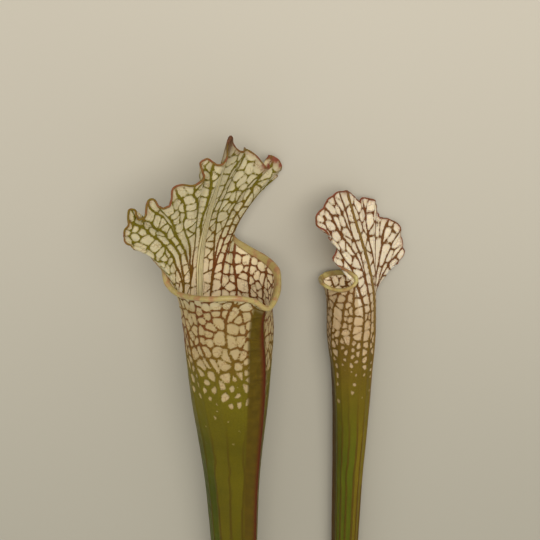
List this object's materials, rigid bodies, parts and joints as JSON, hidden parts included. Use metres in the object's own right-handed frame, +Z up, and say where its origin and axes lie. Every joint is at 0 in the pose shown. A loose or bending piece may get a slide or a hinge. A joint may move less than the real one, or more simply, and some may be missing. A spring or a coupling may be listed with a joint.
{
  "type": "pitcher plant",
  "caption": "Bare-rooted pitcher plant: slender hollow trap leaves with netted pale tops, rolled lips and ruffled hoods, rising from a short rhizome with roots, lying on its back.",
  "frame": {"origin": "on the surface that the plant lies on, under the centre of its bounding box", "axes": "+Y from the roots to the hoods, +Z up from the surface, +X to the right of someone who looks down on the plant with the hoods away from them"},
  "size_m": [0.1336, 0.48, 0.0552],
  "materials": {
    "large_leaf": "satin, green tube with a pale netted top",
    "small_leaf": "satin, olive tube with a pale netted top and red-brown veins",
    "rhizome": "matte, fibrous"
  },
  "bodies": {
    "root": {"large_pitcher": "large_leaf", "small_pitcher": "small_leaf", "rhizome": "rhizome"}
  },
  "joints": []
}
